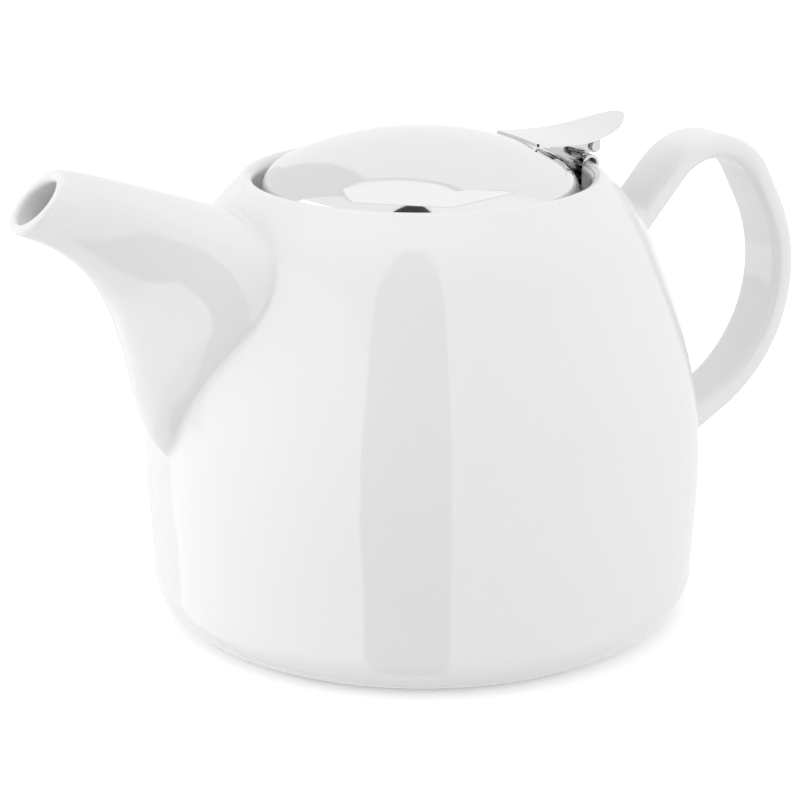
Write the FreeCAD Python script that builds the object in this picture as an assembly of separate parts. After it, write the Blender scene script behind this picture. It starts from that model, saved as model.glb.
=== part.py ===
"""Porcelain teapot with a hinged steel lid, a thumb lever and a lift-out infuser.

The origin is the centre of the foot on the table, +Z is up, +X points to the
handle and -X to the spout. The XZ plane is the plane of symmetry. Millimetres.
"""
import FreeCAD
import Part

import math
import os

# Porcelain body, turned about Z
BODY_R = 70.0
BODY_WIDEST_Z = 30.5
BELLY_INSET = 2.1
BELLY_Z = 60.0
SHOULDER_INSET = 11.6
SHOULDER_DROP = 20.0
NECK_OUTSET = 5.6
NECK_DROP = 5.8
MOUTH_R = 41.5
RIM_BAND = 3.9
RIM_Z = 110.0
RIM_CLIMB_DEG = 48.0
WALL = 4.4
FLOOR_T = 5.0
INNER_CORNER_R = 9.0
FOOT_INSET = 11.5
FOOT_CORNER_R = 10.5
FOOT_RING_W = 5.0
FOOT_RECESS = 1.4
LEDGE_DROP = 7.0
LEDGE_W = 4.1
LEDGE_T = 4.4

# Spout, its points given as a distance out from the widest radius and a rise above the rim
SPOUT_TIP_R = 9.2
SPOUT_TIP_OUT = 29.6
SPOUT_TIP_RISE = 4.1
SPOUT_TIP_TILT_DEG = 46.0
SPOUT_NECK_TOP = (13.6, 8.2)
SPOUT_NECK_KEEL = (22.3, -10.0)
SPOUT_NECK_W = 19.4
SPOUT_MIDDLE_TOP = (3.2, 4.6)
SPOUT_MIDDLE_KEEL = (14.0, -21.0)
SPOUT_MIDDLE_W = 25.6
SPOUT_BASE_TOP = (-8.0, 0.6)
SPOUT_BASE_KEEL = (8.8, -38.0)
SPOUT_BASE_W = 36.8
SPOUT_ROOT_BITE = 8.4
SPOUT_ROOT_DROP = 10.0
SPOUT_ROOT_KEEL = (-8.0, -64.5)
SPOUT_ROOT_FLARE = 12.7
SPOUT_WALL = 3.0
SPOUT_BORE_TOP = (-6.5, -5.0)
SPOUT_BORE_KEEL = (4.0, -38.0)
SPOUT_BORE_W = 26.4
SPOUT_INLET_IN = 15.8
SPOUT_INLET_DROP = 12.5
SPOUT_LIP_ROUND = 1.2
SPOUT_BLEND_R = 2.0
SPOUT_SECTION_POINTS = 16

# How far each spout section narrows to its keel, as shares of an oval's breadth
NECK_PEAR = 0.1
MIDDLE_PEAR = 0.35
BASE_PEAR = 0.6
ROOT_PEAR = 0.78
BORE_PEAR = 0.4
KEEL_SHARE = 0.25

# Handle strap, its centre line bent round two corners
HANDLE_W = 16.8
HANDLE_T = 6.0
HANDLE_EDGE_R = 2.7
HANDLE_TOP_OUT = 16.2
HANDLE_TOP_RISE = 12.5
HANDLE_TOP_R = 16.0
HANDLE_BACK_OUT = 49.0
HANDLE_BACK_DROP = 50.0
HANDLE_BACK_R = 39.8
HANDLE_UPPER_DROP = 23.5
HANDLE_LOWER_DROP = 84.0
HANDLE_ROOT_DEPTH = 7.0
HANDLE_BLEND_R = 4.0

# Infuser basket, hung on the ledge in the mouth
INFUSER_RIM_T = 0.8
INFUSER_RIM_GAP = 0.8
INFUSER_THROAT_GAP = 1.0
INFUSER_SHEET = 0.5
INFUSER_COLLAR_H = 8.0
INFUSER_DEPTH = 72.0
INFUSER_TAPER = 2.4
INFUSER_PAN_H = 3.0

# Lid, a pressed dome with a turned-in hem
LID_GAP = 2.1
LID_LEAN = 0.7
LID_SEAT_GAP = 0.3
LID_SHEET = 0.8
LID_SKIRT = 1.65
LID_RISE = 15.5
LID_SHOULDER_R = 8.6
LID_HEM = 4.0
LID_HEM_R = 1.2

# Hinge clip, sprung over the rim
SHEET = 0.8
BAR_INSET = 0.5
BAR_T = 3.0
CLIP_GAP = 0.2
CLIP_LIFT = 0.1
CLIP_W = 17.0
CLIP_SIDE_GAP = 0.4
CLIP_LEG_GAP = 0.8
FINGER_DROP = 2.9
FINGER_END_GAP = 0.4
SLIT_W = 0.3
KNUCKLE_W = 8.0
KNUCKLE_MOUTH = 0.4

# Hinge pin
PIN_R = 0.9
PIN_OUT = 5.1
PIN_RISE = 3.7
PIN_RUN_GAP = 0.05
PIN_EAR_GAP = 0.02
PIN_HEAD_R = 1.5
PIN_HEAD_T = 0.9

# Thumb lever and the bracket under it
LEVER_W = 21.0
LEVER_FRONT_RUN = 20.3
LEVER_TIP_RUN = 10.8
LEVER_TAPER_RUN = 8.6
LEVER_CORNER_R = 1.6
LEVER_LOW_RUN = 7.4
LEVER_LOW_RISE = 3.0
LEVER_TIP_RISE = 7.2
LEVER_FRONT_DISH = 0.35
LEVER_TIP_DISH = 0.02
LEVER_WELD_SINK = 0.1
LEVER_STEPS = 3
EAR_GAP = 0.2
EAR_FRONT_RUN = 9.4
EAR_FRONT_H = 1.3
EAR_END_R = 1.75
WEB_REAR_RUN = 3.1

# Sizes worked out from those above
FOOT_R = BODY_R - FOOT_INSET
RIM_R = MOUTH_R + RIM_BAND
LEDGE_Z = RIM_Z - LEDGE_DROP
THROAT_R = MOUTH_R - LEDGE_W
LID_R = MOUTH_R - LID_GAP
LID_BASE_Z = LEDGE_Z + INFUSER_RIM_T + LID_SEAT_GAP
LID_EDGE_Z = LID_BASE_Z + LID_SKIRT
LID_TOP_Z = LID_EDGE_Z + LID_RISE
BAR_X0 = MOUTH_R + BAR_INSET
BAR_X1 = BAR_X0 + BAR_T
CLIP_X = BAR_X0 + BAR_T / 2
CLIP_Z = RIM_Z - CLIP_LIFT
CLIP_IN_R = BAR_T / 2 + CLIP_GAP
CLIP_OUT_R = CLIP_IN_R + SHEET
PIN_X = MOUTH_R + PIN_OUT
PIN_Z = RIM_Z + PIN_RISE
KNUCKLE_IN_R = PIN_R + PIN_RUN_GAP
KNUCKLE_OUT_R = KNUCKLE_IN_R + SHEET
EAR_IN_Y = KNUCKLE_W / 2 + EAR_GAP
EAR_OUT_Y = EAR_IN_Y + SHEET
FAR = 4 * BODY_R
TOUCH = 1e-3
UP = FreeCAD.Vector(0, 0, 1)
SIDE = FreeCAD.Vector(0, 1, 0)
ORIGIN = FreeCAD.Vector(0, 0, 0)


def at(x, z, y=0.0):
    """A point, given in the plane of symmetry first."""
    return FreeCAD.Vector(x, y, z)


def line(a, b):
    """A straight edge."""
    return Part.LineSegment(a, b).toShape()


def arc(a, middle, b):
    """An arc edge through three points."""
    return Part.Arc(a, middle, b).toShape()


def arc_about(centre, radius, start_deg, end_deg):
    """An arc edge in the plane of symmetry, from its centre and angles."""
    points = []
    for share in (0.0, 0.5, 1.0):
        turn = math.radians(start_deg + (end_deg - start_deg) * share)
        points.append(centre + at(radius * math.cos(turn), radius * math.sin(turn)))
    return arc(*points)


def curve(points, start, end):
    """A smooth curve through a few points, with its direction at each end."""
    spline = Part.BSplineCurve()
    spline.interpolate(Points=points, InitialTangent=start, FinalTangent=end)
    return spline


def outline(edges):
    """A flat face inside a closed chain of edges."""
    return Part.Face(Part.Wire(edges))


def closed_face(edges):
    """A flat face inside edges that are given in any order."""
    return outline(Part.__sortEdges__(edges))


def polygon(points):
    """A flat face with straight sides."""
    return Part.Face(Part.makePolygon(points + points[:1]))


def turned(face):
    """A half profile turned a full round about Z."""
    return face.revolve(ORIGIN, UP, 360)


def across(face, y0, y1):
    """A profile in the plane of symmetry, run across from y0 to y1."""
    moved = face.copy()
    moved.translate(SIDE * y0)
    return moved.extrude(SIDE * (y1 - y0))


def block(x0, x1, y0, y1, z0, z1):
    """A rectangular block."""
    return Part.makeBox(x1 - x0, y1 - y0, z1 - z0, FreeCAD.Vector(x0, y0, z0))


def rod(radius, y0, y1, x, z):
    """A round bar across the plane of symmetry."""
    return Part.makeCylinder(radius, y1 - y0, at(x, z, y0), SIDE)


def outer_wall_curve():
    """The body's side, from the foot's corner up to the rolled rim."""
    climb = math.radians(RIM_CLIMB_DEG)
    points = [
        at(FOOT_R + FOOT_CORNER_R, FOOT_CORNER_R),
        at(BODY_R, BODY_WIDEST_Z),
        at(BODY_R - BELLY_INSET, BELLY_Z),
        at(BODY_R - SHOULDER_INSET, RIM_Z - SHOULDER_DROP),
        at(RIM_R + NECK_OUTSET, RIM_Z - NECK_DROP),
        at(RIM_R, RIM_Z),
    ]
    return curve(points, at(0, 1), at(-math.cos(climb), math.sin(climb)))


def wall_point(side, z, inset):
    """The point of a side curve at one height, moved inwards along its normal."""
    level = Part.Line(at(0, z), at(1, z))
    hit = side.intersect(level)[0]
    u = side.parameter(FreeCAD.Vector(hit.X, hit.Y, hit.Z))
    along = side.tangent(u)[0]
    return at(hit.X - inset * along.z, z + inset * along.x)


def lip_edges():
    """The rolled lip, an arc from the shoulder over to the mouth's wall."""
    climb = math.radians(RIM_CLIMB_DEG)
    radius = RIM_BAND / (1 + math.sin(climb))
    centre = at(MOUTH_R + radius, RIM_Z - radius * math.cos(climb))
    return arc_about(centre, radius, 90 - RIM_CLIMB_DEG, 180), centre.z


def body_outside():
    """The body's outside with its foot ring, solid up to the lip."""
    side = outer_wall_curve()
    lip, lip_z = lip_edges()
    corner = at(FOOT_R, FOOT_CORNER_R)
    recess_r = FOOT_R - FOOT_RING_W
    edges = [
        line(at(0, FOOT_RECESS), at(recess_r - FOOT_RECESS, FOOT_RECESS)),
        line(at(recess_r - FOOT_RECESS, FOOT_RECESS), at(recess_r, 0)),
        line(at(recess_r, 0), at(FOOT_R, 0)),
        arc_about(corner, FOOT_CORNER_R, -90, 0),
        side.toShape(),
        lip,
        line(at(MOUTH_R, lip_z), at(0, lip_z)),
        line(at(0, lip_z), at(0, FOOT_RECESS)),
    ]
    return turned(outline(edges))


def body_inside():
    """The tea chamber, the throat and the mouth above the ledge."""
    side = outer_wall_curve()
    wall_r = FOOT_R + FOOT_CORNER_R - WALL
    corner = at(wall_r - INNER_CORNER_R, FLOOR_T + INNER_CORNER_R)
    under_z = LEDGE_Z - LEDGE_T
    vault = wall_point(side, RIM_Z - SHOULDER_DROP, WALL)
    inner = curve(
        [
            at(wall_r, corner.z),
            wall_point(side, BODY_WIDEST_Z, WALL),
            wall_point(side, BELLY_Z, WALL),
            vault,
            at(THROAT_R + LEDGE_W, under_z),
        ],
        at(0, 1),
        at(-1, 0),
    )
    top_z = RIM_Z + RIM_BAND
    edges = [
        line(at(0, FLOOR_T), at(corner.x, FLOOR_T)),
        arc_about(corner, INNER_CORNER_R, -90, 0),
        inner.toShape(),
        line(at(THROAT_R + LEDGE_W, under_z), at(THROAT_R, under_z)),
        line(at(THROAT_R, under_z), at(THROAT_R, LEDGE_Z)),
        line(at(THROAT_R, LEDGE_Z), at(MOUTH_R, LEDGE_Z)),
        line(at(MOUTH_R, LEDGE_Z), at(MOUTH_R, top_z)),
        line(at(MOUTH_R, top_z), at(0, top_z)),
        line(at(0, top_z), at(0, FLOOR_T)),
    ]
    return turned(outline(edges))


def spout_point(out, rise):
    """A point of the spout, out from the widest radius and up from the rim."""
    return at(-BODY_R - out, RIM_Z + rise)


def spout_tip():
    """Centre of the spout's tip, the way across its flat end and the way out of it."""
    tilt = math.radians(SPOUT_TIP_TILT_DEG)
    centre = spout_point(SPOUT_TIP_OUT, SPOUT_TIP_RISE)
    return centre, at(math.cos(tilt), math.sin(tilt)), at(-math.sin(tilt), math.cos(tilt))


def spout_stations():
    """Top point, keel point, width and pear share of each section behind the tip."""
    root_top = at(SPOUT_ROOT_BITE - RIM_R, RIM_Z - SPOUT_ROOT_DROP)
    return [
        (spout_point(*SPOUT_NECK_TOP), spout_point(*SPOUT_NECK_KEEL), SPOUT_NECK_W, NECK_PEAR),
        (spout_point(*SPOUT_MIDDLE_TOP), spout_point(*SPOUT_MIDDLE_KEEL), SPOUT_MIDDLE_W, MIDDLE_PEAR),
        (spout_point(*SPOUT_BASE_TOP), spout_point(*SPOUT_BASE_KEEL), SPOUT_BASE_W, BASE_PEAR),
        (root_top, spout_point(*SPOUT_ROOT_KEEL), SPOUT_BASE_W + SPOUT_ROOT_FLARE, ROOT_PEAR),
    ]


def pear_breadth(turn, pear):
    """Breadth of a section that narrows to a rounded keel, at an angle from its top."""
    down = math.cos(turn)
    return math.sin(turn) * (1 + pear * down + KEEL_SHARE * pear * down ** 2)


def pear_wire(top, keel, width, pear):
    """A closed section, an oval that narrows towards the keel."""
    middle = (top + keel) / 2
    rise = (top - keel) / 2
    widest = max(pear_breadth(math.radians(degree), pear) for degree in range(180))
    points = []
    for step in range(SPOUT_SECTION_POINTS):
        turn = 2 * math.pi * step / SPOUT_SECTION_POINTS
        breadth = width / 2 * pear_breadth(turn, pear) / widest
        points.append(middle + rise * math.cos(turn) + SIDE * breadth)
    ring = Part.BSplineCurve()
    ring.interpolate(Points=points, PeriodicFlag=True)
    return Part.Wire(ring.toShape())


def tip_wire(radius, beyond):
    """A round section at the tip, moved out past the flat end by a given length."""
    centre, across_tip, outwards = spout_tip()
    middle = centre + outwards * beyond
    return pear_wire(middle + across_tip * radius, middle - across_tip * radius, 2 * radius, 0.0)


def spout_outside():
    """The spout's outside, lofted from inside the wall to its tip."""
    wires = [tip_wire(SPOUT_TIP_R, 0.0)]
    for station in spout_stations():
        wires.append(pear_wire(*station))
    return Part.makeLoft(wires, True)


def spout_channel():
    """The spout's bore, from the tea chamber out through the tip."""
    bore_r = SPOUT_TIP_R - SPOUT_WALL
    wires = [tip_wire(bore_r, SPOUT_WALL), tip_wire(bore_r, 0.0)]
    for top, keel, width, pear in spout_stations()[:2]:
        step = (keel - top).normalize() * SPOUT_WALL
        wires.append(pear_wire(top + step, keel - step, width - 2 * SPOUT_WALL, pear))
    top = spout_point(*SPOUT_BORE_TOP)
    keel = spout_point(*SPOUT_BORE_KEEL)
    inwards = at(SPOUT_INLET_IN, -SPOUT_INLET_DROP)
    wires.append(pear_wire(top, keel, SPOUT_BORE_W, BORE_PEAR))
    wires.append(pear_wire(top + inwards, keel + inwards, SPOUT_BORE_W, BORE_PEAR))
    return Part.makeLoft(wires, True)


def handle_path():
    """Corner points of the handle's centre line, with the radius at each bend."""
    side = outer_wall_curve()
    upper = wall_point(side, RIM_Z - HANDLE_UPPER_DROP, HANDLE_ROOT_DEPTH)
    lower = wall_point(side, RIM_Z - HANDLE_LOWER_DROP, HANDLE_ROOT_DEPTH)
    top = at(BODY_R + HANDLE_TOP_OUT, RIM_Z + HANDLE_TOP_RISE)
    back = at(BODY_R + HANDLE_BACK_OUT, RIM_Z - HANDLE_BACK_DROP)
    return upper, [(top, HANDLE_TOP_R), (back, HANDLE_BACK_R)], lower


def offset_path(offset):
    """Edges of the handle's centre line moved sideways, outwards if positive."""
    start, bends, end = handle_path()
    corners = [start] + [corner for corner, radius in bends] + [end]
    edges = []
    for index, (corner, radius) in enumerate(bends):
        before = (corner - corners[index]).normalize()
        after = (corners[index + 2] - corner).normalize()
        half_turn = before.getAngle(after) / 2
        setback = radius * math.tan(half_turn)
        entry = corner - before * setback
        leave = corner + after * setback
        inwards = (after - before).normalize()
        centre = corner + inwards * (radius / math.cos(half_turn))
        entry_shift = (entry - centre).normalize() * offset
        leave_shift = (leave - centre).normalize() * offset
        run_start = edges[-1].Vertexes[-1].Point if edges else start + entry_shift
        edges.append(line(run_start, entry + entry_shift))
        crest = centre - inwards * (radius + offset)
        edges.append(arc(entry + entry_shift, crest, leave + leave_shift))
    edges.append(line(leave + leave_shift, end + leave_shift))
    return edges


def handle():
    """The strap handle, its side profile run across and rounded along its edges."""
    outer = offset_path(HANDLE_T / 2)
    inner = offset_path(-HANDLE_T / 2)
    ends = []
    for index in (0, -1):
        outer_point = outer[index].Vertexes[index].Point
        inner_point = inner[index].Vertexes[index].Point
        ends.append(line(outer_point, inner_point))
    face = closed_face(outer + inner + ends)
    strap = across(face, -HANDLE_W / 2, HANDLE_W / 2)
    sides = Part.makeCompound(outer + inner)
    long_edges = []
    for edge in strap.Edges:
        middle = edge.valueAt((edge.FirstParameter + edge.LastParameter) / 2)
        on_side_face = abs(abs(middle.y) - HANDLE_W / 2) < TOUCH
        on_path = Part.Vertex(at(middle.x, middle.z)).distToShape(sides)[0] < TOUCH
        if on_side_face and on_path:
            long_edges.append(edge)
    return strap.makeFillet(HANDLE_EDGE_R, long_edges)


def probes(edge):
    """Three points inside an edge."""
    span = edge.LastParameter - edge.FirstParameter
    return [edge.valueAt(edge.FirstParameter + span * share) for share in (0.2, 0.5, 0.8)]


def seam_edges(solid, first, second):
    """Edges of a joined solid that lie on both of the pieces it was joined from."""
    found = []
    for edge in solid.Edges:
        points = [Part.Vertex(point) for point in probes(edge)]
        gaps = [point.distToShape(piece)[0] for point in points for piece in (first, second)]
        if max(gaps) < TOUCH:
            found.append(edge)
    return found


def spout_tip_edges(solid):
    """The two rims of the spout's flat tip, inside and outside."""
    centre, across_tip, outwards = spout_tip()
    found = []
    for edge in solid.Edges:
        offsets = [point - centre for point in probes(edge)]
        in_plane = all(abs(offset.dot(outwards)) < TOUCH for offset in offsets)
        on_tip = all(offset.Length < SPOUT_TIP_R + TOUCH for offset in offsets)
        if in_plane and on_tip:
            found.append(edge)
    return found


def porcelain_pot():
    """Body, spout and handle as one fired piece, hollowed and notched for the clip."""
    body = body_outside()
    spout = spout_outside()
    strap = handle()
    joined = body.fuse(spout)
    spout_seam = seam_edges(joined, body.Shells[0], spout.Shells[0])
    joined = joined.makeFillet(SPOUT_BLEND_R, spout_seam)
    with_handle = joined.fuse(strap)
    handle_seam = seam_edges(with_handle, joined.Shells[0], strap.Shells[0])
    with_handle = with_handle.makeFillet(HANDLE_BLEND_R, handle_seam)
    pot = with_handle.cut(body_inside()).cut(spout_channel())
    pot = pot.makeFillet(SPOUT_LIP_ROUND, spout_tip_edges(pot))
    half_w = CLIP_W / 2 + CLIP_SIDE_GAP
    groove_x = BAR_X1 + CLIP_GAP + SHEET + CLIP_SIDE_GAP
    groove_z = CLIP_Z - FINGER_DROP - FINGER_END_GAP
    inside = block(0, BAR_X0, -half_w, half_w, LEDGE_Z, FAR)
    groove = block(BAR_X1, groove_x, -half_w, half_w, groove_z, FAR)
    return pot.cut(inside.fuse(groove))


def ring(r0, r1, z0, z1):
    """A plain ring about Z."""
    return turned(polygon([at(r0, z0), at(r1, z0), at(r1, z1), at(r0, z1)]))


def infuser():
    """Rim, wall and base of the basket, joined edge to edge."""
    wall_r = THROAT_R - INFUSER_THROAT_GAP
    collar_z = LEDGE_Z - INFUSER_COLLAR_H
    base_z = LEDGE_Z - INFUSER_DEPTH
    pan_z = base_z + INFUSER_PAN_H
    base_r = wall_r - INFUSER_TAPER
    inner_r = wall_r - INFUSER_SHEET
    flange = ring(inner_r, MOUTH_R - INFUSER_RIM_GAP, LEDGE_Z, LEDGE_Z + INFUSER_RIM_T)
    collar = ring(inner_r, wall_r, collar_z, LEDGE_Z)
    wall_points = [
        at(base_r - INFUSER_SHEET, pan_z),
        at(base_r, pan_z),
        at(wall_r, collar_z),
        at(inner_r, collar_z),
    ]
    wall = turned(polygon(wall_points))
    pan = ring(base_r - INFUSER_SHEET, base_r, base_z, pan_z)
    floor = Part.makeCylinder(base_r, INFUSER_SHEET, at(0, base_z))
    return flange.fuse(collar).removeSplitter(), wall, pan.fuse(floor).removeSplitter()


def dome_radius():
    """Radius of the lid's crown, tangent to its rounded shoulder."""
    run = LID_R - LID_SHOULDER_R
    return (run ** 2 + LID_RISE ** 2 - LID_SHOULDER_R ** 2) / (2 * (LID_RISE - LID_SHOULDER_R))


def dome_z(x):
    """Height of the crown's top surface in the plane of symmetry."""
    crown = dome_radius()
    return LID_TOP_Z - crown + math.sqrt(crown ** 2 - (x + LID_LEAN) ** 2)


def lid_shape(sheet):
    """The lid's top outline, from the axis to its edge, moved in by a thickness."""
    crown = dome_radius()
    crown_centre = at(0, LID_TOP_Z - crown)
    shoulder_centre = at(LID_R - LID_SHOULDER_R, LID_EDGE_Z)
    meet_deg = math.degrees(math.atan2(shoulder_centre.z - crown_centre.z, shoulder_centre.x))
    return [
        arc_about(crown_centre, crown - sheet, 90, meet_deg),
        arc_about(shoulder_centre, LID_SHOULDER_R - sheet, meet_deg, 0),
    ]


def lid_dome():
    """The pressed lid, with a short skirt and a turned-in hem, hung towards the spout."""
    hem_centre = at(LID_R - LID_HEM_R, LID_BASE_Z + LID_HEM_R)
    hem_top = LID_BASE_Z + LID_SHEET
    hem_r = LID_R - LID_HEM
    inner_r = LID_R - LID_SHEET
    edges = lid_shape(0.0) + lid_shape(LID_SHEET)
    edges += [
        line(at(LID_R, LID_EDGE_Z), at(LID_R, hem_centre.z)),
        arc_about(hem_centre, LID_HEM_R, 0, -90),
        line(at(hem_centre.x, LID_BASE_Z), at(hem_r, LID_BASE_Z)),
        line(at(hem_r, LID_BASE_Z), at(hem_r, hem_top)),
        line(at(hem_r, hem_top), at(hem_centre.x, hem_top)),
        arc_about(hem_centre, LID_HEM_R - LID_SHEET, -90, 0),
        line(at(inner_r, hem_centre.z), at(inner_r, LID_EDGE_Z)),
        line(at(0, LID_TOP_Z - LID_SHEET), at(0, LID_TOP_Z)),
    ]
    dome = turned(closed_face(edges))
    dome.translate(at(-LID_LEAN, 0))
    return dome


def lever_stations():
    """Distance from Z, top height and dish of the lever at each cross-section."""
    front_x = PIN_X - LEVER_FRONT_RUN
    low_x = PIN_X - LEVER_LOW_RUN
    tip_x = PIN_X + LEVER_TIP_RUN
    front_rise = dome_z(front_x) + SHEET - LEVER_WELD_SINK - PIN_Z - LEVER_LOW_RISE
    tip_rise = LEVER_TIP_RISE - LEVER_LOW_RISE
    stations = []
    for step in range(-LEVER_STEPS, LEVER_STEPS + 1):
        share = abs(step) / LEVER_STEPS
        end_x, end_rise = (front_x, front_rise) if step < 0 else (tip_x, tip_rise)
        x = low_x + (end_x - low_x) * share
        along = (x - front_x) / (tip_x - front_x)
        dish = LEVER_FRONT_DISH + (LEVER_TIP_DISH - LEVER_FRONT_DISH) * along
        stations.append((x, PIN_Z + LEVER_LOW_RISE + end_rise * share ** 2, dish))
    return stations


def lever_sheet(above):
    """The lever's dished sheet, wider than the lever, thickened upwards by a given height."""
    half_w = LEVER_W / 2 + SHEET
    under = at(0, -SHEET)
    wires = []
    for x, z, dish in lever_stations():
        crest = at(x, z + above)
        left = at(x, z + above - dish, -half_w)
        right = at(x, z + above - dish, half_w)
        low_left = at(x, z - dish, -half_w) + under
        low_right = at(x, z - dish, half_w) + under
        top = arc(left, crest, right)
        bottom = arc(low_right, at(x, z) + under, low_left)
        wires.append(Part.Wire([top, line(right, low_right), bottom, line(low_left, left)]))
    return Part.makeLoft(wires, True)


def lever_plan():
    """The lever seen from above: a straight front, parallel sides and an oval tip."""
    half_w = LEVER_W / 2
    front_x = PIN_X - LEVER_FRONT_RUN
    taper_x = PIN_X - LEVER_TAPER_RUN
    tip = Part.Ellipse(at(taper_x, 0), PIN_X + LEVER_TIP_RUN - taper_x, half_w)
    tip_edge = Part.ArcOfEllipse(tip, -math.pi / 2, math.pi / 2).toShape()
    corner = LEVER_CORNER_R
    bend = corner * (1 - math.cos(math.pi / 4))
    edges = [
        tip_edge,
        line(at(taper_x, 0, half_w), at(front_x + corner, 0, half_w)),
        arc(
            at(front_x + corner, 0, half_w),
            at(front_x + bend, 0, half_w - bend),
            at(front_x, 0, half_w - corner),
        ),
        line(at(front_x, 0, half_w - corner), at(front_x, 0, corner - half_w)),
        arc(
            at(front_x, 0, corner - half_w),
            at(front_x + bend, 0, bend - half_w),
            at(front_x + corner, 0, -half_w),
        ),
        line(at(front_x + corner, 0, -half_w), at(taper_x, 0, -half_w)),
    ]
    return closed_face(edges).extrude(UP * FAR)


def thumb_lever():
    """The lever, cut to its plan and laid on the lid's crown."""
    crown_ball = Part.makeSphere(dome_radius(), at(-LID_LEAN, LID_TOP_Z - dome_radius()))
    return lever_sheet(0.0).common(lever_plan()).cut(crown_ball)


def lever_bracket():
    """A folded bracket under the lever, with an ear each side of the knuckle."""
    front_x = PIN_X - EAR_FRONT_RUN
    roof_z = PIN_Z + LEVER_LOW_RISE
    under_z = roof_z - SHEET
    end_x = PIN_X + EAR_END_R
    nose_z = under_z - EAR_FRONT_H
    ear_edges = [
        line(at(front_x, roof_z), at(front_x, nose_z)),
        line(at(front_x, nose_z), at(PIN_X, PIN_Z - EAR_END_R)),
        arc_about(at(PIN_X, PIN_Z), EAR_END_R, -90, 0),
        line(at(end_x, PIN_Z), at(end_x, roof_z)),
        line(at(end_x, roof_z), at(front_x, roof_z)),
    ]
    ear = outline(ear_edges)
    bore = rod(PIN_R + PIN_EAR_GAP, -CLIP_W, CLIP_W, PIN_X, PIN_Z)
    ears = across(ear, EAR_IN_Y, EAR_OUT_Y).fuse(across(ear, -EAR_OUT_Y, -EAR_IN_Y)).cut(bore)
    web = block(front_x, PIN_X - WEB_REAR_RUN, -EAR_OUT_Y, EAR_OUT_Y, under_z - SHEET, roof_z)
    return ears.fuse(web).cut(lever_sheet(LEVER_W)).removeSplitter()


def hinge_pin():
    """The pin, peened over at both ends outside the bracket's ears."""
    end_y = EAR_OUT_Y + PIN_HEAD_T
    pin = rod(PIN_R, -EAR_OUT_Y, EAR_OUT_Y, PIN_X, PIN_Z)
    head = rod(PIN_HEAD_R, EAR_OUT_Y, end_y, PIN_X, PIN_Z)
    outer_rim = [edge for edge in head.Edges if abs(edge.CenterOfMass.y - end_y) < TOUCH]
    head = head.makeFillet(PIN_HEAD_T / 2, outer_rim)
    other = head.mirror(ORIGIN, SIDE)
    return pin.fuse([head, other]).removeSplitter()


def rim_clip():
    """The spring clip: one leg in the mouth, two fingers outside, a knuckle between."""
    half_w = CLIP_W / 2
    tongue_w = KNUCKLE_W / 2
    finger_y = tongue_w + SLIT_W
    leg_z = LEDGE_Z + INFUSER_RIM_T + CLIP_LEG_GAP
    leg = block(CLIP_X - CLIP_OUT_R, CLIP_X - CLIP_IN_R, -half_w, half_w, leg_z, CLIP_Z)
    tube = rod(CLIP_OUT_R, -half_w, half_w, CLIP_X, CLIP_Z)
    tube = tube.cut(rod(CLIP_IN_R, -half_w, half_w, CLIP_X, CLIP_Z))
    hook = tube.common(block(-FAR, CLIP_X, -half_w, half_w, CLIP_Z, FAR))
    finger_arc = tube.common(block(CLIP_X, FAR, -half_w, half_w, CLIP_Z, FAR))
    finger_x = CLIP_X + CLIP_IN_R
    finger_leg = block(finger_x, finger_x + SHEET, -half_w, half_w, CLIP_Z - FINGER_DROP, CLIP_Z)
    fingers = finger_arc.fuse(finger_leg).cut(block(-FAR, FAR, -finger_y, finger_y, -FAR, FAR))
    tongue_points = [
        at(CLIP_X, CLIP_Z + CLIP_IN_R),
        at(PIN_X, PIN_Z - KNUCKLE_OUT_R),
        at(PIN_X, PIN_Z - KNUCKLE_IN_R),
        at(CLIP_X, CLIP_Z + CLIP_OUT_R),
    ]
    tongue = across(polygon(tongue_points), -tongue_w, tongue_w)
    bore = rod(KNUCKLE_IN_R, -half_w, half_w, PIN_X, PIN_Z)
    roll = rod(KNUCKLE_OUT_R, -tongue_w, tongue_w, PIN_X, PIN_Z)
    mouth = block(0, PIN_X, -half_w, half_w, PIN_Z - KNUCKLE_MOUTH, PIN_Z)
    roll = roll.cut(mouth)
    return leg.fuse([hook, fingers, tongue, roll]).cut(bore).removeSplitter()


def main():
    """Build every piece and write one file for each."""
    infuser_rim, infuser_wall, infuser_base = infuser()
    pieces = {
        "porcelain_pot": porcelain_pot(),
        "infuser_rim": infuser_rim,
        "infuser_wall": infuser_wall,
        "infuser_base": infuser_base,
        "rim_clip": rim_clip(),
        "hinge_pin": hinge_pin(),
        "lever_bracket": lever_bracket(),
        "thumb_lever": thumb_lever(),
        "lid_dome": lid_dome(),
    }
    os.makedirs("parts", exist_ok=True)
    for name, shape in pieces.items():
        box = shape.BoundBox
        print(
            f"{name}: solids {len(shape.Solids)}, valid {shape.isValid()}, volume {shape.Volume:.1f},"
            f" x {box.XMin:.2f} to {box.XMax:.2f}, y {box.YMin:.2f} to {box.YMax:.2f},"
            f" z {box.ZMin:.2f} to {box.ZMax:.2f}"
        )
        shape.exportStep(f"parts/{name}.step")


main()
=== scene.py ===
"""Looks of the porcelain teapot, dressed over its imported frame.

Metres, in the frame of the CAD model: the origin is the centre of the foot on the table, +Z is up,
+X points to the handle and -X to the spout.
"""
import logging
import math
from dataclasses import dataclass, field
from enum import Enum

import bmesh
import bpy
from mathutils import Matrix, Vector


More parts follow.
